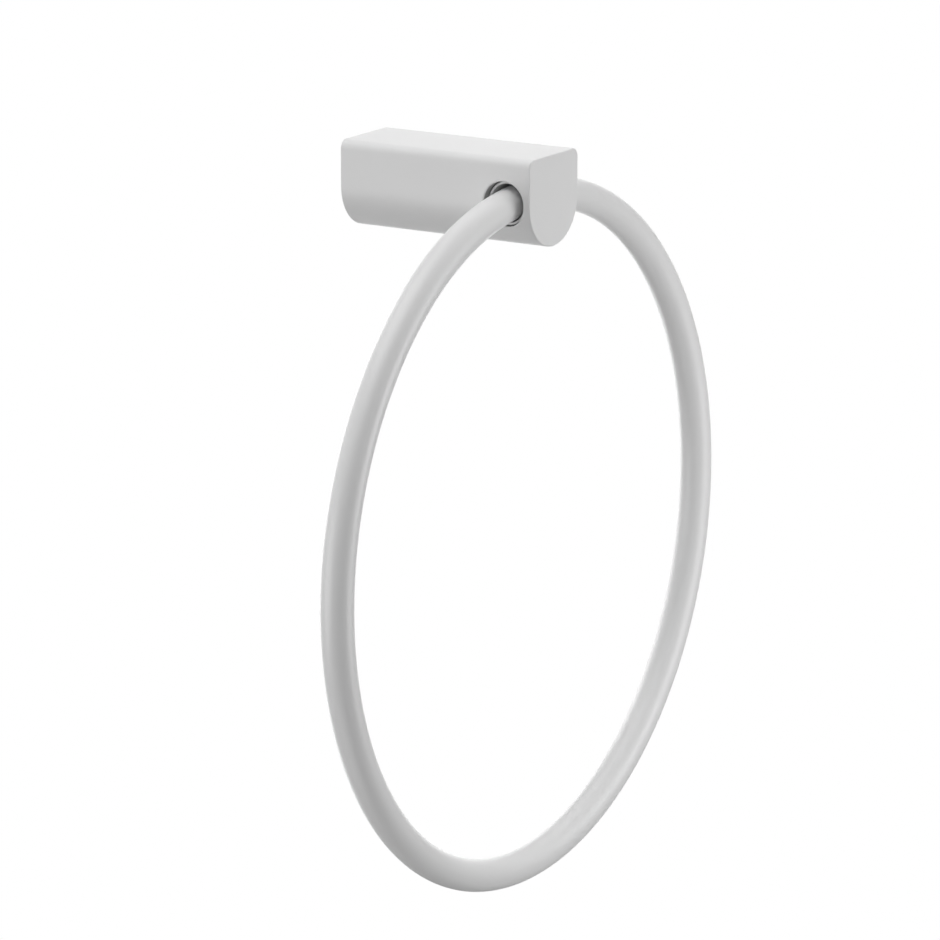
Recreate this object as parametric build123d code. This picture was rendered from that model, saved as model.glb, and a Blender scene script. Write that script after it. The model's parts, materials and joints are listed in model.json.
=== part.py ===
from build123d import *
import os
from math import sqrt

# A towel ring on a wall holder. All sizes are in millimetres.
# The wall is the plane y = 0, and the holder stands out from it towards -Y. +Z is up.
# The origin is on the wall, at the centre of the holder's half-round underside.
# That point is level with the cross bore that the ring hangs in.

# Ring
bar_diameter = 10.0
ring_inside_diameter = 200.0

# Holder block
block_width = 28.0
block_length = 67.0
flank_height = 14.0  # from the bore's axis up to the flat top
top_edge_radius = 2.8
front_edge_radius = 0.4
mouth_chamfer = 0.45  # eased edge where the cross bore comes out
front_wall = 2.36  # metal between the cross bore and the front face

# Bush that lines the cross bore
bush_wall = 1.0
bush_recess = 2.7  # from the block's flat flank in to the bush's end
bush_lead = 0.35  # taper across the wall, that leads each end of the bush into the bore
bush_lead_length = 1.2  # length of that taper along the bore
bush_inner_chamfer = 0.15
bush_fit = 0.04  # radial clearance between the bush and the bore
ring_clearance = 0.27  # least room between the bar and the bush, at the bush's ends

# Wall bracket, hidden in a pocket in the block's wall end
pocket_wall = 3.0
pocket_corner_radius = 1.0
bracket_depth = 9.0  # from the wall to the bracket's front
bracket_fit = 0.15  # clearance all round between the bracket and the pocket
bracket_chamfer = 0.6  # leads the holder on to the bracket
screw_head_room = 5.0  # pocket left free in front of the bracket
screw_hole_diameter = 4.5
screw_head_diameter = 8.2
screw_head_edge = 1.25  # bracket left outside each countersink
countersink_angle = 90.0

# Grub screw that holds the block on the bracket, from below
grub_diameter = 4.0
grub_fit = 0.05  # radial clearance in the tapped hole, and over the point
grub_recess = 0.4  # from the block's underside up to the screw's end
grub_bite = 1.25  # how far the point reaches into the bracket
grub_tip_diameter = 1.4
socket_across_flats = 2.0
socket_depth = 1.8

# How far a cutting shape reaches past the face that it cuts
overcut = 1.0

# Sizes that follow from those above
bar_radius = bar_diameter / 2
inside_radius = ring_inside_diameter / 2
ring_radius = inside_radius + bar_radius
block_half = block_width / 2

# The bar is curved, so it drops away from the bore's axis towards the ends of the bush.
bush_half = block_half - bush_recess
bar_drop = inside_radius - sqrt(inside_radius**2 - bush_half**2)
bush_inside = bar_radius + bar_drop + ring_clearance
bush_outside = bush_inside + bush_wall
bore_radius = bush_outside + bush_fit
ring_y = bore_radius + front_wall - block_length

pocket_half = block_half - pocket_wall
pocket_top = flank_height - pocket_wall
pocket_depth = bracket_depth + screw_head_room
bracket_half = pocket_half - bracket_fit
bracket_top = pocket_top - bracket_fit

screw_inset = screw_head_edge + screw_head_diameter / 2
screw_heights = (bracket_top - screw_inset, screw_inset - bracket_half)

grub_radius = grub_diameter / 2
grub_y = -bracket_depth / 2
grub_foot = grub_recess - block_half
grub_tip = grub_bite - bracket_half
grub_shoulder = grub_tip - (grub_radius - grub_tip_diameter / 2)


def d_section(half_width, top, corner_radius):
    """A flat top with rounded corners, straight flanks and a half-round underside about the origin."""
    right_flank = Line((half_width, 0), (half_width, top))
    flat_top = Line((half_width, top), (-half_width, top))
    left_flank = Line((-half_width, top), (-half_width, 0))
    underside = ThreePointArc((-half_width, 0), (0, -half_width), (half_width, 0))
    section = make_face(right_flank + flat_top + left_flank + underside)
    top_corners = section.vertices().group_by(Axis.Y)[-1]
    return fillet(top_corners, corner_radius)


def out_from_wall(section, depth):
    """The section drawn on the wall and extruded away from it."""
    return extrude(Plane.XZ * section, amount=depth)


def along_bore(radius, length):
    """A cylinder on the cross bore's axis."""
    return Pos(0, ring_y, 0) * Rot(0, 90, 0) * Cylinder(radius, length)


def grub_profile(grow):
    """Half the grub screw's outline, with its side and its point moved out by a clearance."""
    radius = grub_radius + grow
    tip = grub_tip + grow
    outline = Polyline(
        (0, grub_foot),
        (radius, grub_foot),
        (radius, grub_shoulder),
        (grub_tip_diameter / 2, tip),
        (0, tip),
        close=True,
    )
    return make_face(Plane.XZ * outline)


def make_holder_block():
    """The cast block: D-shaped bar with a cross bore, a bracket pocket and a tapped hole."""
    block = out_from_wall(d_section(block_half, flank_height, top_edge_radius), block_length)
    front_edges = block.faces().sort_by(Axis.Y)[0].edges()
    block = fillet(front_edges, front_edge_radius)

    block -= along_bore(bore_radius, block_width + 2 * overcut)
    bore_wall = block.faces().filter_by(GeomType.CYLINDER).filter_by(
        lambda face: abs(face.radius - bore_radius) < bush_fit / 2
    )
    mouths = [edge for edge in bore_wall.edges() if abs(edge.center().X) > block_half / 2]
    block = chamfer(mouths, mouth_chamfer)

    block -= out_from_wall(d_section(pocket_half, pocket_top, pocket_corner_radius), pocket_depth)
    hole_length = pocket_wall + 2 * overcut
    hole_middle = -block_half + pocket_wall / 2
    block -= Pos(0, grub_y, hole_middle) * Cylinder(grub_radius + grub_fit, hole_length)
    return block


def make_ring_bush():
    """The sleeve that lines the cross bore, tapered outside and eased inside at both ends."""
    end_outline = [
        (bush_half - bush_inner_chamfer, bush_inside),
        (bush_half, bush_inside + bush_inner_chamfer),
        (bush_half, bush_outside - bush_lead),
        (bush_half - bush_lead_length, bush_outside),
    ]
    other_end = [(-along, radius) for along, radius in reversed(end_outline)]
    profile = make_face(Polyline(*end_outline, *other_end, close=True))
    return Pos(0, ring_y, 0) * revolve(profile, Axis.X)


def make_ring():
    """One closed round bar that hangs from the bore, parallel to the wall."""
    return Pos(0, ring_y, -ring_radius) * Rot(90, 0, 0) * Torus(ring_radius, bar_radius)


def make_wall_bracket():
    """The plate that is screwed to the wall, with the holder pushed over it."""
    bracket = out_from_wall(d_section(bracket_half, bracket_top, pocket_corner_radius), bracket_depth)
    front_edges = bracket.faces().sort_by(Axis.Y)[0].edges()
    bracket = chamfer(front_edges, bracket_chamfer)
    front = Plane.XZ.offset(bracket_depth)
    for height in screw_heights:
        screw_place = front * Pos(0, height)
        bracket -= screw_place * CounterSinkHole(
            radius=screw_hole_diameter / 2,
            counter_sink_radius=screw_head_diameter / 2,
            depth=bracket_depth + overcut,
            counter_sink_angle=countersink_angle,
        )
    bracket -= Pos(0, grub_y, 0) * revolve(grub_profile(grub_fit), Axis.Z)
    return bracket


def make_grub_screw():
    """A socket set screw with a cone point, its socket facing down."""
    screw = revolve(grub_profile(0), Axis.Z)
    hexagon = RegularPolygon(socket_across_flats / 2, 6, major_radius=False)
    screw -= extrude(Pos(0, 0, grub_foot) * hexagon, amount=socket_depth)
    return Pos(0, grub_y, 0) * screw


pieces = {
    "holder_block": make_holder_block(),
    "ring_bush": make_ring_bush(),
    "ring": make_ring(),
    "wall_bracket": make_wall_bracket(),
    "grub_screw": make_grub_screw(),
}

os.makedirs("parts", exist_ok=True)
for name, piece in pieces.items():
    export_step(piece, f"parts/{name}.step")
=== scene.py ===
"""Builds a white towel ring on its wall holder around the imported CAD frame.

Lengths are in metres. The wall is at y = 0 and the front is towards -Y. X runs along the wall, and Z
runs up from the axis of the holder's cross bore, on which the ring swings.
"""

import json
from functools import partial
from math import acos, asin, atan2, cos, pi, radians, sin, tau

import bmesh
import bpy
from bpy.props import FloatProperty, FloatVectorProperty, IntProperty, PointerProperty
from bpy.types import Operator, Panel, PropertyGroup
from mathutils import Matrix, Vector


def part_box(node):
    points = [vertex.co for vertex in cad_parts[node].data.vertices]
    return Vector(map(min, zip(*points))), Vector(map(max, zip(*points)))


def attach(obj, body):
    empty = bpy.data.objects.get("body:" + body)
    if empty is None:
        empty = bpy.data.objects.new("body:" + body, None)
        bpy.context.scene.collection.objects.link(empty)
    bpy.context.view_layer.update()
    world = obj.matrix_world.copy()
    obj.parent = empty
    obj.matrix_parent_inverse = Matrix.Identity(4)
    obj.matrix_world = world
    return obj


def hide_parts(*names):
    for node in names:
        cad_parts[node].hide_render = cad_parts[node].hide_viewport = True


bl_info = {
    "name": "Towel ring",
    "version": (1, 0, 0),
    "blender": (4, 5, 0),
    "location": "View3D > Sidebar > Towel ring",
    "description": "Builds a white towel ring on its wall holder, with finishes and a studio stage",
    "category": "Object",
}

# The frame, and the places and sizes that are read from it
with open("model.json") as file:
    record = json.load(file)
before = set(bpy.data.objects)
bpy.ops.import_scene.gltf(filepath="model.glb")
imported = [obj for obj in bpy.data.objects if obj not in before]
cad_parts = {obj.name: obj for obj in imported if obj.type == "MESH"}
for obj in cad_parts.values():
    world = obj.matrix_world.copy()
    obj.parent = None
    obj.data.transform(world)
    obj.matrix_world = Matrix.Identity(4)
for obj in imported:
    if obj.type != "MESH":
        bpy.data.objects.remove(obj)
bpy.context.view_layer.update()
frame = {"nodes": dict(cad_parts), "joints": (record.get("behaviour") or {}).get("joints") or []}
ring_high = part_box("ring")[1]
block_low, block_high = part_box("holder_block")
bush_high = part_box("ring_bush")[1]
grub_low, grub_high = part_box("grub_screw")
swing_axis = Vector(frame["joints"][0]["pos_m"])
grub_y = (grub_low.y + grub_high.y) / 2

MM = 0.001

# Room between a hole and the piece that sits in it
BUSH_ROOM = 0.04 * MM
GRUB_ROOM = 0.05 * MM

# Sprayed and moulded finishes: features in a metre, roughness of the smoothest and the roughest spots,
# depth of the relief, and the share of the colour that the darkest spots keep
COAT_SCALES = {"Grain Scale": 3600.0, "Peel Scale": 700.0, "Mottle Scale": 60.0}
BORE_SCALES = {"Grain Scale": 2600.0, "Peel Scale": 900.0, "Mottle Scale": 400.0}
BUSH_SCALES = {"Grain Scale": 2600.0, "Peel Scale": 500.0, "Mottle Scale": 90.0}
RING_COAT = {"scales": COAT_SCALES, "roughness": (0.30, 0.36), "relief": 0.002 * MM, "darkest": 0.975}
BLOCK_COAT = {"scales": COAT_SCALES, "roughness": (0.38, 0.46), "relief": 0.006 * MM, "darkest": 0.975}
# The holes' coat: its darker grey colour, given with the finishes, is painted shade for the shade
# inside the holes
BORE_SHADE_COAT = {"scales": BORE_SCALES, "roughness": (0.40, 0.55), "relief": 0.010 * MM, "darkest": 0.80}
BUSH_PLASTIC = {"scales": BUSH_SCALES, "roughness": (0.42, 0.52), "relief": 0.002 * MM, "darkest": 0.95}

# Metals: the same, with lines in a metre along X, Y and Z
PLATE_LINES = (1400.0, 400.0, 50.0)
TURNED_LINES = (500.0, 500.0, 12000.0)
PLATE_STEEL = {"scale": PLATE_LINES, "roughness": (0.36, 0.60), "relief": 0.004 * MM, "darkest": 0.86}
SCREW_STEEL = {"scale": TURNED_LINES, "roughness": (0.25, 0.40), "relief": 0.003 * MM, "darkest": 0.86}
METAL_PATCH_SCALE = 240.0

# Material slots of the holder block
WHITE_COAT = 0
# Slot of the darker grey coat, painted shade inside the holes
HOLE_SHADE_COAT = 1

# Fineness of the holder block: cells over the window of each hole, and steps along the rest
BORE_CELLS = 24
GRUB_CELLS = 12
UNDERSIDE_STEPS = 14
FLANK_STEPS = 2
TOP_EDGE_STEPS = 9
TOP_STEPS = 4
REACH_STEPS = 8
FRONT_EDGE_STEPS = 5
PATCH_STEPS = 4
MOUTH_EDGE_STEPS = 4
HOLE_WALL_STEPS = 8

# Skin that a hole's window takes in round the hole
BORE_MARGIN = 1.5 * MM
GRUB_MARGIN = 1.3 * MM

# Fineness of the bush and the grub screw
BUSH_SIDES = 128
BUSH_EDGE_STEPS = 3
GRUB_SIDES = 48
THREAD_STEPS = 10

# More than 1, so that the thread has flat crests
THREAD_CREST = 1.25

# Edges that bend by more than this stay sharp
SHARP_EDGE = radians(40)
SHARP_THREAD = radians(50)

# Softboxes: bearing from the front and angle above the horizon in degrees, distance from the ring's
# centre, width, height, and power in watts
SOFTBOXES = {
    "right_box": (20, -6, 0.5, 0.45, 0.45, 1.07),
    "high_right_box": (33, 12, 0.5, 0.35, 0.35, 0.48),
    "left_box": (-117, -5, 0.5, 0.35, 0.35, 0.67),
    "low_left_box": (-90, -52, 0.5, 0.30, 0.30, 0.18),
    "left_top_box": (-80, 63, 0.8, 0.72, 0.72, 1.42),
    "back_top_box": (-132, 74, 0.8, 0.72, 0.72, 2.41),
    "right_top_box": (110, 52, 0.5, 0.45, 0.45, 0.57),
    "low_back_box": (170, 11, 0.5, 0.35, 0.35, 0.57),
    "rim_box": (156, -12, 1.2, 0.50, 1.30, 3.08),
    "backdrop_box": (122, -8, 1.5, 1.40, 1.40, 5.85),
}

# Light that the floor and the surroundings give to the object. The camera sees both as white, at 1.
FLOOR_GLOW = 0.26
SKY_GLOW = 0.15

FLOOR_SIDES = 96
SENSOR_WIDTH_MM = 36


def length(name, description, default):
    """A length in metres that a user may change."""
    return FloatProperty(
        name=name, description=description, default=default, unit="LENGTH", precision=5
    )


def angle_in_degrees(name, description, default):
    """An angle that a user may change."""
    return FloatProperty(
        name=name, description=description, default=radians(default), subtype="ANGLE"
    )


def colour(name, description, default):
    """A colour that a user may change."""
    return FloatVectorProperty(
        name=name,
        description=description,
        default=(*default, 1.0),
        size=4,
        subtype="COLOR",
        min=0.0,
        max=1.0,
    )


class RingSizes(PropertyGroup):
    """Sizes of the ring and of the bush that it hangs in."""

    outside_diameter: length("Outside diameter", "Across the ring", 2 * ring_high.x)
    bar_diameter: length("Bar diameter", "Thickness of the ring's round bar", 10 * MM)
    ring_steps: IntProperty(
        name="Ring steps", description="Sections round the ring", default=360, min=12
    )
    bar_steps: IntProperty(name="Bar steps", description="Points round the bar", default=64, min=8)
    bush_length: length("Bush length", "Along the cross bore", 2 * bush_high.x)
    bush_outside: length("Bush outside diameter", "Across the bush", 2 * bush_high.z)
    bush_wall: length("Bush wall", "Thickness of the bush", 1.0 * MM)
    bush_lead: length("Bush lead", "Taper of the bush's ends, across the wall", 0.35 * MM)
    bush_lead_length: length("Bush lead length", "Taper of its ends, along the bore", 1.2 * MM)
    bush_edge: length("Bush edge", "Rounding of the bush's ends, inside", 0.15 * MM)


class HolderSizes(PropertyGroup):
    """Sizes of the holder block and of its holes."""

    width: length("Width", "Across the block", 2 * block_high.x)
    reach: length("Reach", "From the wall to the block's front", -block_low.y)
    flank: length("Flank height", "From the cross bore's axis to the flat top", block_high.z)
    top_edge: length("Top edge", "Radius of the two long top edges", 2.8 * MM)
    front_edge: length("Front edge", "Radius of the edge round the front face", 0.4 * MM)
    mouth_edge: length("Mouth edge", "Rounding where the cross bore comes out", 0.45 * MM)
    bore_radius: length("Bore radius", "Of the bore that takes the bush", bush_high.z + BUSH_ROOM)
    pocket_wall: length("Pocket wall", "Thickness of the block round the bracket", 3.0 * MM)
    pocket_depth: length("Pocket depth", "From the wall into the block", 14.0 * MM)
    pocket_corner: length("Pocket corner", "Radius of the pocket's top corners", 1.0 * MM)
    grub_hole_radius: length("Grub hole radius", "Under the block", grub_high.x + GRUB_ROOM)
    grub_hole_edge: length("Grub hole edge", "Rounding where the hole comes out", 0.12 * MM)


class GrubSizes(PropertyGroup):
    """Sizes of the grub screw that holds the block on the bracket."""

    radius: length("Radius", "Over the thread", grub_high.x)
    pitch: length("Pitch", "From one thread to the next", 0.7 * MM)
    thread_depth: length("Thread depth", "From crest to root", 0.38 * MM)
    tip_radius: length("Tip radius", "Of the cone point's flat end", 0.7 * MM)
    foot_edge: length("Foot edge", "Chamfer at the socket end", 0.25 * MM)
    across_flats: length("Across flats", "Of the hexagon socket", 2.0 * MM)
    socket_depth: length("Socket depth", "Depth of the hexagon socket", 1.8 * MM)


class Finishes(PropertyGroup):
    """Colours of the finishes and of the stage."""

    coat: colour("White coat", "Satin white coat of the block and the ring", (0.82, 0.82, 0.82))
    # Darker grey than the white coat: painted shade for the shade that falls inside the block's holes
    bore: colour("Bore", "Thin coat inside the block's holes", (0.45, 0.45, 0.45))
    # White moulded plastic, made brighter than the white coat: partly its own white, partly painted
    # light on the rim that sits in the bore's shade
    bush: colour("Bush", "Moulded plastic of the bush", (0.92, 0.92, 0.92))
    bracket: colour("Bracket", "Plated steel of the wall bracket", (0.40, 0.40, 0.39))
    screw: colour("Screw", "Turned steel of the grub screw", (0.56, 0.56, 0.57))
    floor: colour("Floor", "Pale studio floor", (1.0, 1.0, 1.0))


class StageSizes(PropertyGroup):
    """Places of the camera and the floor."""

    azimuth: angle_in_degrees("Azimuth", "Camera's bearing from the front", -58.08)
    elevation: angle_in_degrees("Elevation", "Camera's angle above the horizon", 14.034)
    distance: length("Distance", "From the ring's centre back to the camera", 1.57221)
    shift_right: length("Right", "Camera's place to the right of the ring's centre", -0.0172084)
    shift_up: length("Up", "Camera's place above the ring's centre", 0.0199325)
    lens: FloatProperty(name="Lens", description="Focal length", default=197.31, unit="CAMERA")
    floor_drop: length("Floor drop", "From the holder down to the floor", 1.2)
    floor_radius: length("Floor radius", "Reach of the floor", 20.0)


class TowelRingSettings(PropertyGroup):
    """Everything that a user may change."""

    ring: PointerProperty(type=RingSizes)
    holder: PointerProperty(type=HolderSizes)
    grub: PointerProperty(type=GrubSizes)
    finish: PointerProperty(type=Finishes)
    stage: PointerProperty(type=StageSizes)


# Helpers for nodes


def add_node(tree, kind, inputs=None, **settings):
    """A new node with its settings and the values of its inputs, by name or number."""
    node = tree.nodes.new(kind)
    for name, value in settings.items():
        setattr(node, name, value)
    for key, value in (inputs or {}).items():
        if isinstance(value, bpy.types.NodeSocket):
            tree.links.new(value, node.inputs[key])
        else:
            node.inputs[key].default_value = value
    return node


def new_group(name, kind, inputs, outputs):
    """An empty node group with named sockets, and its input and output nodes."""
    tree = bpy.data.node_groups.new(name, kind)
    for socket, socket_type in inputs.items():
        tree.interface.new_socket(socket, in_out="INPUT", socket_type=socket_type)
    for socket, socket_type in outputs.items():
        tree.interface.new_socket(socket, in_out="OUTPUT", socket_type=socket_type)
    return tree, tree.nodes.new("NodeGroupInput"), tree.nodes.new("NodeGroupOutput")


# Shader groups that more than one finish uses


def coat_grain_group():
    """Fine grain, soft orange peel and broad mottling of a sprayed or moulded surface."""
    name = "Coat grain"
    if name in bpy.data.node_groups:
        return bpy.data.node_groups[name]
    sockets = {
        "Vector": "NodeSocketVector",
        "Grain Scale": "NodeSocketFloat",
        "Peel Scale": "NodeSocketFloat",
        "Mottle Scale": "NodeSocketFloat",
    }
    outputs = {
        "Height": "NodeSocketFloat",
        "Grain": "NodeSocketFloat",
        "Mottle": "NodeSocketFloat",
    }
    tree, given, result = new_group(name, "ShaderNodeTree", sockets, outputs)
    place = given.outputs["Vector"]
    noise = {}
    for layer, detail in (("Grain", 2.0), ("Peel", 1.0), ("Mottle", 3.0)):
        inputs = {"Vector": place, "Scale": given.outputs[f"{layer} Scale"], "Detail": detail}
        noise[layer] = add_node(tree, "ShaderNodeTexNoise", inputs).outputs["Fac"]
    both = {0: noise["Grain"], 1: noise["Peel"]}
    height = add_node(tree, "ShaderNodeMath", both, operation="ADD")
    tree.links.new(height.outputs[0], result.inputs["Height"])
    tree.links.new(noise["Grain"], result.inputs["Grain"])
    tree.links.new(noise["Mottle"], result.inputs["Mottle"])
    return tree


def tool_lines_group():
    """Fine lines left by a tool that cut or brushed along one direction."""
    name = "Tool lines"
    if name in bpy.data.node_groups:
        return bpy.data.node_groups[name]
    sockets = {"Vector": "NodeSocketVector", "Line Scale": "NodeSocketVector"}
    outputs = {"Lines": "NodeSocketFloat", "Patches": "NodeSocketFloat"}
    tree, given, result = new_group(name, "ShaderNodeTree", sockets, outputs)
    place = given.outputs["Vector"]
    stretched = add_node(
        tree,
        "ShaderNodeVectorMath",
        {0: place, 1: given.outputs["Line Scale"]},
        operation="MULTIPLY",
    )
    lines = add_node(
        tree,
        "ShaderNodeTexNoise",
        {"Vector": stretched.outputs[0], "Scale": 1.0, "Detail": 3.0},
    )
    patches = add_node(tree, "ShaderNodeTexNoise", {"Vector": place, "Scale": METAL_PATCH_SCALE})
    tree.links.new(lines.outputs["Fac"], result.inputs["Lines"])
    tree.links.new(patches.outputs["Fac"], result.inputs["Patches"])
    return tree


# Finishes


def new_material(name, colour_on_screen):
    """A material with its tree, its Principled shader and the object coordinates."""
    material = bpy.data.materials.new(name)
    material.use_nodes = True
    material.diffuse_color = colour_on_screen
    tree = material.node_tree
    place = add_node(tree, "ShaderNodeTexCoord").outputs["Object"]
    return material, tree, tree.nodes["Principled BSDF"], place


def vary_colour(tree, shader, mask, colour_given, darkest):
    """Base colour that goes from the colour down to a darker shade of it where the mask is low."""
    dark = (*[part * darkest for part in colour_given[:3]], 1.0)
    shades = {"Factor": mask, "A": dark, "B": tuple(colour_given)}
    shade = add_node(tree, "ShaderNodeMix", shades, data_type="RGBA")
    tree.links.new(shade.outputs["Result"], shader.inputs["Base Color"])


def vary_roughness(tree, shader, mask, smooth, rough):
    """Roughness between two values, by the mask."""
    limits = {"Value": mask, "To Min": smooth, "To Max": rough}
    spread = add_node(tree, "ShaderNodeMapRange", limits)
    tree.links.new(spread.outputs["Result"], shader.inputs["Roughness"])


def add_bump(tree, shader, height, depth):
    """Fine relief on the surface, of a depth in metres."""
    bump = add_node(tree, "ShaderNodeBump", {"Height": height, "Distance": depth})
    tree.links.new(bump.outputs["Normal"], shader.inputs["Normal"])


def sprayed_finish(name, colour_given, scales, roughness, relief, darkest):
    """A sprayed coat, or moulded plastic, with its grain."""
    material, tree, shader, place = new_material(name, colour_given)
    inputs = {"Vector": place, **scales}
    grain = add_node(tree, "ShaderNodeGroup", inputs, node_tree=coat_grain_group())
    vary_colour(tree, shader, grain.outputs["Mottle"], colour_given, darkest)
    vary_roughness(tree, shader, grain.outputs["Grain"], *roughness)
    add_bump(tree, shader, grain.outputs["Height"], relief)
    return material


def tooled_metal(name, colour_given, scale, roughness, relief, darkest):
    """Bare metal with the lines of the tool that finished it."""
    material, tree, shader, place = new_material(name, colour_given)
    shader.inputs["Metallic"].default_value = 1.0
    inputs = {"Vector": place, "Line Scale": scale}
    lines = add_node(tree, "ShaderNodeGroup", inputs, node_tree=tool_lines_group())
    vary_colour(tree, shader, lines.outputs["Patches"], colour_given, darkest)
    vary_roughness(tree, shader, lines.outputs["Lines"], *roughness)
    add_bump(tree, shader, lines.outputs["Lines"], relief)
    return material


# Helpers for pieces


def add_piece(name, mesh, *materials):
    """A new object at the origin, with its place in its mesh."""
    piece = bpy.data.objects.new(name, mesh)
    for material in materials:
        mesh.materials.append(material)
    bpy.context.scene.collection.objects.link(piece)
    return piece


def apply_modifiers(piece):
    """Makes what the piece's modifiers give its own plain mesh."""
    graph = bpy.context.evaluated_depsgraph_get()
    mesh = bpy.data.meshes.new_from_object(piece.evaluated_get(graph), depsgraph=graph)
    if not mesh.polygons:
        raise RuntimeError(f"{piece.name} came out with no faces")
    mesh.name = piece.name
    piece.modifiers.clear()
    piece.data = mesh


def even_shading(piece, sharp_angle):
    """Keeps edges over the angle sharp and lets large faces set the shading beside small ones."""
    piece.data.set_sharp_from_angle(angle=sharp_angle)
    weights = piece.modifiers.new("Weights", "WEIGHTED_NORMAL")
    weights.keep_sharp = True
    apply_modifiers(piece)


def finish_piece(piece, node, body):
    """Lets a finished piece stand for its CAD node and move with its body."""
    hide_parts(node)
    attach(piece, body)


# The ring, swept by Geometry Nodes


def ring_radius(sizes):
    """Radius of the circle that the middle of the bar follows."""
    return (sizes.outside_diameter - sizes.bar_diameter) / 2


def ring_centre(sizes):
    """The ring's centre, straight below the axis that it swings on."""
    return swing_axis - Vector((0, 0, ring_radius(sizes)))


def ring_tree():
    """A round bar swept round a circle that stands parallel to the wall."""
    sockets = {
        "Ring Radius": "NodeSocketFloat",
        "Bar Radius": "NodeSocketFloat",
        "Ring Steps": "NodeSocketInt",
        "Bar Steps": "NodeSocketInt",
        "Centre": "NodeSocketVector",
        "Material": "NodeSocketMaterial",
    }
    outputs = {"Geometry": "NodeSocketGeometry"}
    tree, given, result = new_group("Ring sweep", "GeometryNodeTree", sockets, outputs)
    circles = {}
    for part in ("Ring", "Bar"):
        inputs = {
            "Radius": given.outputs[f"{part} Radius"],
            "Resolution": given.outputs[f"{part} Steps"],
        }
        circle = add_node(tree, "GeometryNodeCurvePrimitiveCircle", inputs)
        circles[part] = circle.outputs["Curve"]
    sweep = add_node(
        tree,
        "GeometryNodeCurveToMesh",
        {"Curve": circles["Ring"], "Profile Curve": circles["Bar"]},
    )
    upright = add_node(
        tree,
        "GeometryNodeTransform",
        {
            "Geometry": sweep.outputs["Mesh"],
            "Translation": given.outputs["Centre"],
            "Rotation": (pi / 2, 0, 0),
        },
    )
    smooth = add_node(
        tree, "GeometryNodeSetShadeSmooth", {"Geometry": upright.outputs["Geometry"]}
    )
    real = add_node(
        tree, "GeometryNodeRealizeInstances", {"Geometry": smooth.outputs["Geometry"]}
    )
    painted = add_node(
        tree,
        "GeometryNodeSetMaterial",
        {"Geometry": real.outputs["Geometry"], "Material": given.outputs["Material"]},
    )
    tree.links.new(painted.outputs["Geometry"], result.inputs["Geometry"])
    return tree


def grow_with_nodes(name, tree, values):
    """A plain mesh piece, made once by a Geometry Nodes tree from named values."""
    piece = add_piece(name, bpy.data.meshes.new(name))
    grower = piece.modifiers.new("Grow", "NODES")
    grower.node_group = tree
    for item in tree.interface.items_tree:
        if item.in_out == "INPUT":
            grower[item.identifier] = values[item.name]
    apply_modifiers(piece)
    return piece


# Helpers for meshes


def steps(start, end, count):
    """Evenly spaced values from the start up to, but not at, the end."""
    return [start + (end - start) * index / count for index in range(count)]


def part_way(start, end, share):
    """The value part of the way from start to end."""
    return start + (end - start) * share


def bridge(shape, loop, next_loop, finish=WHITE_COAT):
    """Quads between two closed loops that have the same number of points."""
    for index, corner in enumerate(loop):
        after = (index + 1) % len(loop)
        face = shape.faces.new((corner, loop[after], next_loop[after], next_loop[index]))
        face.smooth = True
        face.material_index = finish


def outward_mesh(name, shape):
    """The mesh of a finished closed shape, with its faces turned outwards."""
    bmesh.ops.recalc_face_normals(shape, faces=shape.faces)
    mesh = bpy.data.meshes.new(name)
    shape.to_mesh(mesh)
    shape.free()
    return mesh


# The bush


def bush_mesh(sizes):
    """The sleeve in the cross bore, with tapered leads outside and rounded edges inside."""
    half = sizes.bush_length / 2
    outside = sizes.bush_outside / 2
    inside = outside - sizes.bush_wall
    edge = sizes.bush_edge
    end_profile = [(half - sizes.bush_lead_length, outside), (half, outside - sizes.bush_lead)]
    for bend in (*steps(0, pi / 2, BUSH_EDGE_STEPS), pi / 2):
        end_profile.append((half - edge * (1 - cos(bend)), inside + edge * (1 - sin(bend))))
    profile = [*end_profile, *[(-along, radius) for along, radius in reversed(end_profile)]]

    shape = bmesh.new()
    loops = []
    for along, radius in profile:
        loop = []
        for turn in steps(0, tau, BUSH_SIDES):
            point = Vector((along, radius * cos(turn), radius * sin(turn)))
            loop.append(shape.verts.new(swing_axis + point))
        loops.append(loop)
    for loop, next_loop in zip(loops, [*loops[1:], loops[0]]):
        bridge(shape, loop, next_loop)
    return outward_mesh("bore_bush", shape)


# The holder block


class DSection:
    """The block's outline: half-round underside, straight flanks and a flat top with eased edges.

    A place on it is a turn: 0 at the foot, 1 where the flank begins, 2 and 3 at the ends of the top
    edge's arc, and 4 in the middle of the top. Negative turns are on the -X side.
    """

    def __init__(self, half_width, top, corner_radius):
        self.half_width = half_width
        self.top = top
        self.corner_radius = corner_radius
        self.half_top = half_width - corner_radius
        self.quarter = half_width * pi / 2
        self.flank = top - corner_radius

    def point(self, turn, out, inset=0.0):
        """The point at a turn, out from the wall, with an inset under the surface."""
        place = abs(turn)
        if place <= 1:
            bend = place * pi / 2
            normal = Vector((sin(bend), -cos(bend)))
            spot = self.half_width * normal
        elif place <= 2:
            normal = Vector((1, 0))
            spot = Vector((self.half_width, (place - 1) * self.flank))
        elif place < 3:
            bend = (place - 2) * pi / 2
            normal = Vector((cos(bend), sin(bend)))
            spot = Vector((self.half_top, self.flank)) + self.corner_radius * normal
        else:
            normal = Vector((0, 1))
            spot = Vector(((4 - place) * self.half_top, self.top))
        spot -= inset * normal
        return Vector((spot.x if turn >= 0 else -spot.x, -out, spot.y))

    def turn_at_height(self, height):
        """The turn of a point on the +X flank or underside, from its height."""
        if height >= 0:
            return 1 + height / self.flank
        return acos(-height / self.half_width) / (pi / 2)

    def turn_at_side(self, across):
        """The turn of a point on the underside, from how far it is from the middle."""
        return asin(across / self.half_width) / (pi / 2)

    def arc_from_flank(self, turn):
        """Length along the outline from the foot of the flank, up or down."""
        above = abs(turn) - 1
        return above * (self.flank if above > 0 else self.quarter)


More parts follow.
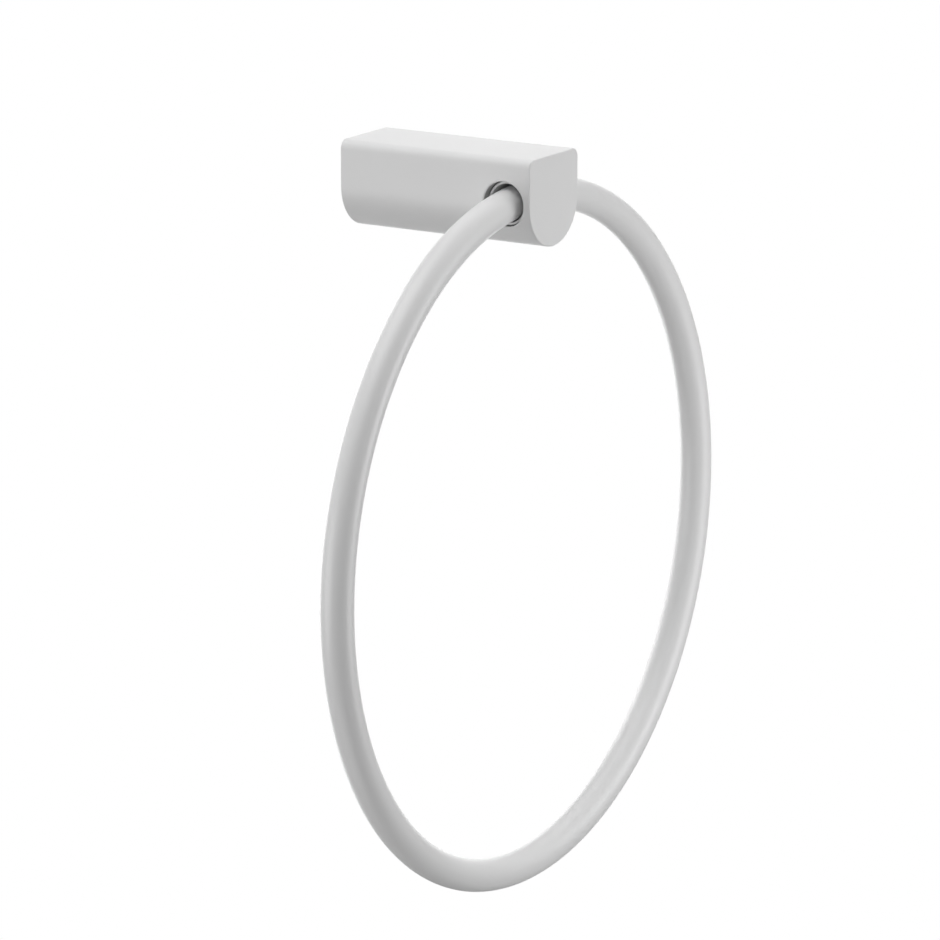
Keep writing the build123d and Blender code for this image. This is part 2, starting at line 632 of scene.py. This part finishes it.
class Skin:
    """A grid of quads over a D-section's surface, with windows left open for holes."""

    def __init__(self, shape, section, rows, turns):
        self.shape = shape
        self.section = section
        self.rows = rows
        self.turns = turns
        self.grid = []
        for out, inset in rows:
            self.grid.append([shape.verts.new(section.point(turn, out, inset)) for turn in turns])
        self.open_cells = set()

    def window(self, row_numbers, column_numbers):
        """Leaves a window open and returns the loop of grid places round it."""
        for row in row_numbers[:-1]:
            for column, beside in zip(column_numbers, column_numbers[1:]):
                # The columns of a window on the -X side run backwards
                first = column if (column + 1) % len(self.turns) == beside else beside
                self.open_cells.add((row, first))
        loop = [(row_numbers[0], column) for column in column_numbers[:-1]]
        loop += [(row, column_numbers[-1]) for row in row_numbers[:-1]]
        loop += [(row_numbers[-1], column) for column in reversed(column_numbers[1:])]
        loop += [(row, column_numbers[0]) for row in reversed(row_numbers[1:])]
        return loop

    def open_hole(self, loop, angle_at, mouth, radius, edge, inward):
        """Fills a window up to a round hole's eased edge, and returns the loop inside the edge.

        angle_at gives the angle round the hole's axis from a turn and a place out from the wall. mouth
        goes the other way: it gives the turn and the place at a distance and an angle from the axis.
        """
        places = [(self.turns[column], self.rows[row][0]) for row, column in loop]
        angles = [angle_at(turn, out) for turn, out in places]
        brinks = [mouth(radius + edge, angle) for angle in angles]
        last = [self.grid[row][column] for row, column in loop]
        for step in range(1, PATCH_STEPS + 1):
            share = step / PATCH_STEPS
            ring = []
            for place, brink in zip(places, brinks):
                turn = part_way(place[0], brink[0], share)
                out = part_way(place[1], brink[1], share)
                ring.append(self.shape.verts.new(self.section.point(turn, out)))
            bridge(self.shape, last, ring)
            last = ring
        for step in range(1, MOUTH_EDGE_STEPS + 1):
            bend = step / MOUTH_EDGE_STEPS * pi / 2
            ring = []
            for angle, brink in zip(angles, brinks):
                corner = self.section.point(*mouth(radius, angle))
                outward = self.section.point(*brink) - corner
                point = corner + outward * (1 - sin(bend)) + inward * edge * (1 - cos(bend))
                ring.append(self.shape.verts.new(point))
            bridge(self.shape, last, ring)
            last = ring
        return last

    def close(self):
        """Makes the quads of the grid outside its windows."""
        for row in range(len(self.rows) - 1):
            for column in range(len(self.turns)):
                if (row, column) in self.open_cells:
                    continue
                beside = (column + 1) % len(self.turns)
                near, far = self.grid[row], self.grid[row + 1]
                face = self.shape.faces.new((near[column], near[beside], far[beside], far[column]))
                face.smooth = True


def hole_wall(shape, loop, far_loop):
    """The wall of a hole, between the loops inside its two edges, in the darker grey coat that paints
    the shade in the hole.
    """
    last = loop
    for step in range(1, HOLE_WALL_STEPS):
        share = step / HOLE_WALL_STEPS
        ring = []
        for start, end in zip(loop, far_loop):
            ring.append(shape.verts.new(start.co.lerp(end.co, share)))
        bridge(shape, last, ring, HOLE_SHADE_COAT)
        last = ring
    bridge(shape, last, far_loop, HOLE_SHADE_COAT)


def open_cross_bore(skin, rows, columns, bore_out, radius, edge):
    """The cross bore, through both flanks. The rows and columns are those of the +X window."""
    outline = skin.section

    def angle_at(turn, out):
        return atan2(outline.arc_from_flank(turn), out - bore_out)

    def mouth(side, from_axis, angle):
        turn = outline.turn_at_height(from_axis * sin(angle))
        return side * turn, bore_out + from_axis * cos(angle)

    ends = []
    for side in (1, -1):
        loop = skin.window(rows, [side * column % len(skin.turns) for column in columns])
        inward = Vector((-side, 0, 0))
        ends.append(skin.open_hole(loop, angle_at, partial(mouth, side), radius, edge, inward))
    hole_wall(skin.shape, *ends)


def open_grub_hole(skin, pocket, rows, columns, grub_out, radius, edge):
    """The grub screw's hole, from the underside into the pocket."""
    outline = skin.section

    def angle_at(turn, out):
        return atan2(out - grub_out, turn * outline.quarter)

    def mouth(section, from_axis, angle):
        turn = section.turn_at_side(from_axis * cos(angle))
        return turn, grub_out + from_axis * sin(angle)

    ends = []
    for wall, rise in ((skin, 1), (pocket, -1)):
        loop = wall.window(rows, [column % len(wall.turns) for column in columns])
        wall_mouth = partial(mouth, wall.section)
        inward = Vector((0, 0, rise))
        ends.append(wall.open_hole(loop, angle_at, wall_mouth, radius, edge, inward))
    hole_wall(skin.shape, *ends)


def holder_mesh(sizes):
    """The cast block: its skin, the bracket's pocket, the cross bore and the grub screw's hole."""
    outline = DSection(sizes.width / 2, sizes.flank, sizes.top_edge)
    wall = sizes.pocket_wall
    hollow = DSection(outline.half_width - wall, sizes.flank - wall, sizes.pocket_corner)
    bore_half = sizes.bore_radius + BORE_MARGIN
    bore_out = -swing_axis.y
    bore_start, bore_end = bore_out - bore_half, bore_out + bore_half
    grub_half = sizes.grub_hole_radius + GRUB_MARGIN
    grub_out = -grub_y
    grub_start, grub_end = grub_out - grub_half, grub_out + grub_half

    # Columns of the grid, round the outline
    grub_turn = grub_half / outline.quarter
    low_turn = 1 - bore_half / outline.quarter
    high_turn = 1 + bore_half / outline.flank
    half_turns = [
        *steps(0, grub_turn, GRUB_CELLS // 2),
        *steps(grub_turn, low_turn, UNDERSIDE_STEPS),
        *steps(low_turn, 1, BORE_CELLS // 2),
        *steps(1, high_turn, BORE_CELLS // 2),
        *steps(high_turn, 2, FLANK_STEPS),
        *steps(2, 3, TOP_EDGE_STEPS),
        *steps(3, 4, TOP_STEPS),
    ]
    turns = [*half_turns, 4, *[-turn for turn in reversed(half_turns[1:])]]

    # Rows of the grid, out from the wall and round the front edge
    grub_outs = [0, *steps(grub_start, grub_end, GRUB_CELLS)]
    outs = [
        *grub_outs,
        *steps(grub_end, bore_start, REACH_STEPS),
        *steps(bore_start, bore_end, BORE_CELLS),
        bore_end,
    ]
    rows = [(out, 0) for out in outs]
    edge = sizes.front_edge
    for bend in (*steps(0, pi / 2, FRONT_EDGE_STEPS), pi / 2):
        rows.append((sizes.reach - edge * (1 - sin(bend)), edge * (1 - cos(bend))))

    shape = bmesh.new()
    skin = Skin(shape, outline, rows, turns)
    pocket_rows = [(out, 0) for out in (*grub_outs, grub_end, sizes.pocket_depth)]
    pocket = Skin(shape, hollow, pocket_rows, turns)

    first_row = outs.index(bore_start)
    bore_rows = range(first_row, first_row + BORE_CELLS + 1)
    first_column = half_turns.index(low_turn)
    bore_columns = range(first_column, first_column + BORE_CELLS + 1)
    open_cross_bore(skin, bore_rows, bore_columns, bore_out, sizes.bore_radius, sizes.mouth_edge)

    grub_rows = range(1, GRUB_CELLS + 2)
    grub_columns = range(-(GRUB_CELLS // 2), GRUB_CELLS // 2 + 1)
    grub_hole = (grub_out, sizes.grub_hole_radius, sizes.grub_hole_edge)
    open_grub_hole(skin, pocket, grub_rows, grub_columns, *grub_hole)

    skin.close()
    pocket.close()
    bridge(shape, skin.grid[0], pocket.grid[0])
    shape.faces.new(skin.grid[-1])
    shape.faces.new(pocket.grid[-1])
    return outward_mesh("holder_body", shape)


# The grub screw


def grub_mesh(sizes):
    """A set screw with a hexagon socket below, a rolled thread and a cone point."""
    foot, tip = grub_low.z, grub_high.z
    start = foot + sizes.foot_edge
    shoulder = tip - (sizes.radius - sizes.tip_radius)
    root = sizes.radius - sizes.thread_depth
    apothem = sizes.across_flats / 2
    flat = pi / 3
    angles = steps(0, tau, GRUB_SIDES)

    def level(radius_at, height):
        """A row of points round the screw, at a height."""
        points = []
        for angle in angles:
            radius = radius_at(angle)
            points.append((radius * cos(angle), grub_y + radius * sin(angle), height))
        return points

    def hexagon(angle):
        """Radius of the socket's sides, at an angle."""
        return apothem / cos((angle + flat / 2) % flat - flat / 2)

    def thread(height):
        """Radius of the thread by angle, at a height. It fades out at both ends."""
        fade = min(1, (height - start) / sizes.pitch, (shoulder - height) / sizes.pitch)

        def radius_at(angle):
            phase = ((height - foot) / sizes.pitch - angle / tau) % 1
            ridge = min(1, THREAD_CREST * abs(2 * phase - 1))
            return root + sizes.thread_depth * ridge * max(fade, 0)

        return radius_at

    levels = [
        level(hexagon, foot + sizes.socket_depth),
        level(hexagon, foot),
        level(lambda angle: root - sizes.foot_edge, foot),
    ]
    count = round((shoulder - start) / sizes.pitch * THREAD_STEPS)
    for height in (*steps(start, shoulder, count), shoulder):
        levels.append(level(thread(height), height))
    levels.append(level(lambda angle: sizes.tip_radius, tip))

    shape = bmesh.new()
    loops = [[shape.verts.new(point) for point in points] for points in levels]
    for loop, next_loop in zip(loops, loops[1:]):
        bridge(shape, loop, next_loop)
    shape.faces.new(loops[0])
    shape.faces.new(loops[-1])
    return outward_mesh("grub_screw_threaded", shape)


# Operators, one for each piece


class TOWELRING_OT_ring(Operator):
    """Sweeps the ring's round bar and gives it its white coat"""

    bl_idname = "towel_ring.ring"
    bl_label = "Ring"

    def execute(self, context):
        settings = context.scene.towel_ring
        values = {
            "Ring Radius": ring_radius(settings.ring),
            "Bar Radius": settings.ring.bar_diameter / 2,
            "Ring Steps": settings.ring.ring_steps,
            "Bar Steps": settings.ring.bar_steps,
            "Centre": ring_centre(settings.ring),
            "Material": sprayed_finish("ring_coat", settings.finish.coat, **RING_COAT),
        }
        piece = grow_with_nodes("towel_ring_bar", ring_tree(), values)
        finish_piece(piece, "ring", "ring")
        return {"FINISHED"}


class TOWELRING_OT_ring_bush(Operator):
    """Turns the bush that lines the cross bore"""

    bl_idname = "towel_ring.ring_bush"
    bl_label = "Ring bush"

    def execute(self, context):
        settings = context.scene.towel_ring
        # The bush's extra brightness is painted light on its rim inside the bore
        plastic = sprayed_finish("bush_plastic_painted_light", settings.finish.bush, **BUSH_PLASTIC)
        piece = add_piece("bore_bush", bush_mesh(settings.ring), plastic)
        even_shading(piece, SHARP_EDGE)
        finish_piece(piece, "ring_bush", "holder")
        return {"FINISHED"}


class TOWELRING_OT_holder_block(Operator):
    """Builds the holder block with its holes and gives it its white coat"""

    bl_idname = "towel_ring.holder_block"
    bl_label = "Holder block"

    def execute(self, context):
        settings = context.scene.towel_ring
        coat = sprayed_finish("block_coat", settings.finish.coat, **BLOCK_COAT)
        # The holes get the darker grey coat, painted shade
        shade_coat = sprayed_finish("bore_painted_shade_coat", settings.finish.bore, **BORE_SHADE_COAT)
        piece = add_piece("holder_body", holder_mesh(settings.holder), coat, shade_coat)
        even_shading(piece, SHARP_EDGE)
        finish_piece(piece, "holder_block", "holder")
        return {"FINISHED"}


class TOWELRING_OT_wall_bracket(Operator):
    """Gives the wall bracket its plated steel"""

    bl_idname = "towel_ring.wall_bracket"
    bl_label = "Wall bracket"

    def execute(self, context):
        settings = context.scene.towel_ring
        steel = tooled_metal("bracket_plate_steel", settings.finish.bracket, **PLATE_STEEL)
        frame["nodes"]["wall_bracket"].material_slots[0].material = steel
        return {"FINISHED"}


class TOWELRING_OT_grub_screw(Operator):
    """Builds the threaded grub screw"""

    bl_idname = "towel_ring.grub_screw"
    bl_label = "Grub screw"

    def execute(self, context):
        settings = context.scene.towel_ring
        steel = tooled_metal("screw_turned_steel", settings.finish.screw, **SCREW_STEEL)
        piece = add_piece("grub_screw_threaded", grub_mesh(settings.grub), steel)
        even_shading(piece, SHARP_THREAD)
        finish_piece(piece, "grub_screw", "holder")
        return {"FINISHED"}


# The stage


def direction_at(bearing, rise):
    """The unit vector at a bearing from the front and an angle above the horizon."""
    return Vector((sin(bearing) * cos(rise), -cos(bearing) * cos(rise), sin(rise)))


def camera_white(tree, lit_strength):
    """White to the camera and a softer light for everything else."""
    path = add_node(tree, "ShaderNodeLightPath")
    strength = add_node(
        tree,
        "ShaderNodeMapRange",
        {"Value": path.outputs["Is Camera Ray"], "To Min": lit_strength, "To Max": 1.0},
    )
    return strength.outputs["Result"]


class TOWELRING_OT_stage(Operator):
    """Sets the floor, the softboxes, the surroundings and the camera"""

    bl_idname = "towel_ring.stage"
    bl_label = "Studio stage"

    def execute(self, context):
        scene = context.scene
        settings = scene.towel_ring
        centre = ring_centre(settings.ring)
        self.add_floor(settings)
        self.add_surroundings(scene)
        for name, values in SOFTBOXES.items():
            self.add_softbox(scene, centre, name, *values)
        self.add_camera(scene, centre, settings.stage)
        scene.view_settings.view_transform = "Standard"
        return {"FINISHED"}

    def add_floor(self, settings):
        """A wide pale floor, as far down as under a holder on a wall, clear from below."""
        mesh = bpy.data.meshes.new("studio_floor")
        shape = bmesh.new()
        bmesh.ops.create_circle(
            shape,
            cap_ends=True,
            segments=FLOOR_SIDES,
            radius=settings.stage.floor_radius,
            matrix=Matrix.Translation((0, 0, -settings.stage.floor_drop)),
        )
        shape.to_mesh(mesh)
        shape.free()
        material = bpy.data.materials.new("studio_floor")
        material.use_nodes = True
        tree = material.node_tree
        tree.nodes.remove(tree.nodes["Principled BSDF"])
        glow = add_node(
            tree,
            "ShaderNodeEmission",
            {"Color": tuple(settings.finish.floor), "Strength": camera_white(tree, FLOOR_GLOW)},
        )
        clear = add_node(tree, "ShaderNodeBsdfTransparent")
        side = add_node(tree, "ShaderNodeNewGeometry")
        mix = add_node(
            tree,
            "ShaderNodeMixShader",
            {0: side.outputs["Backfacing"], 1: glow.outputs[0], 2: clear.outputs[0]},
        )
        tree.links.new(mix.outputs[0], tree.nodes["Material Output"].inputs["Surface"])
        add_piece("studio_floor", mesh, material)

    def add_surroundings(self, scene):
        """White surroundings with little light of their own."""
        world = bpy.data.worlds.new("studio")
        scene.world = world
        world.use_nodes = True
        tree = world.node_tree
        background = tree.nodes["Background"]
        background.inputs["Color"].default_value = (1.0, 1.0, 1.0, 1.0)
        tree.links.new(camera_white(tree, SKY_GLOW), background.inputs["Strength"])

    def add_softbox(self, scene, centre, name, bearing, rise, distance, width, height, power):
        """A round or oval softbox that faces the ring's centre and isn't seen by the camera."""
        direction = direction_at(radians(bearing), radians(rise))
        data = bpy.data.lights.new(name, "AREA")
        data.shape = "ELLIPSE"
        data.size = width
        data.size_y = height
        data.energy = power
        box = bpy.data.objects.new(name, data)
        box.location = centre + distance * direction
        box.rotation_euler = direction.to_track_quat("Z", "Y").to_euler()
        box.visible_camera = False
        scene.collection.objects.link(box)

    def add_camera(self, scene, centre, place):
        """The camera at the photograph's angle."""
        back = direction_at(place.azimuth, place.elevation)
        right = Vector((cos(place.azimuth), sin(place.azimuth), 0))
        up = back.cross(right)
        data = bpy.data.cameras.new("camera")
        data.lens = place.lens
        data.sensor_width = SENSOR_WIDTH_MM
        data.clip_end = 2 * place.floor_radius
        camera = bpy.data.objects.new("camera", data)
        camera.matrix_world = Matrix((right, up, back)).transposed().to_4x4()
        aside = place.shift_right * right + place.shift_up * up
        camera.location = centre + place.distance * back + aside
        scene.collection.objects.link(camera)
        scene.camera = camera


OPERATORS = (
    TOWELRING_OT_ring,
    TOWELRING_OT_ring_bush,
    TOWELRING_OT_holder_block,
    TOWELRING_OT_wall_bracket,
    TOWELRING_OT_grub_screw,
    TOWELRING_OT_stage,
)


class TOWELRING_PT_pieces(Panel):
    """Lists the pieces and their settings"""

    bl_idname = "TOWELRING_PT_pieces"
    bl_label = "Towel ring"
    bl_space_type = "VIEW_3D"
    bl_region_type = "UI"
    bl_category = "Towel ring"

    def draw(self, context):
        settings = context.scene.towel_ring
        for operator in OPERATORS:
            self.layout.operator(operator.bl_idname)
        for part in TowelRingSettings.__annotations__:
            group = getattr(settings, part)
            column = self.layout.column(align=True)
            for name in group.__annotations__:
                column.prop(group, name)


CLASSES = (
    RingSizes,
    HolderSizes,
    GrubSizes,
    Finishes,
    StageSizes,
    TowelRingSettings,
    *OPERATORS,
    TOWELRING_PT_pieces,
)


def register():
    """Adds the classes, and the settings to every scene."""
    for one_class in CLASSES:
        bpy.utils.register_class(one_class)
    bpy.types.Scene.towel_ring = PointerProperty(type=TowelRingSettings)


def unregister():
    """Takes away what register adds."""
    del bpy.types.Scene.towel_ring
    for one_class in reversed(CLASSES):
        bpy.utils.unregister_class(one_class)


def main():
    """Builds the pieces and the stage."""
    register()
    bpy.ops.towel_ring.ring()
    bpy.ops.towel_ring.ring_bush()
    bpy.ops.towel_ring.holder_block()
    bpy.ops.towel_ring.wall_bracket()
    bpy.ops.towel_ring.grub_screw()
    bpy.ops.towel_ring.stage()


if __name__ == "__main__":
    main()
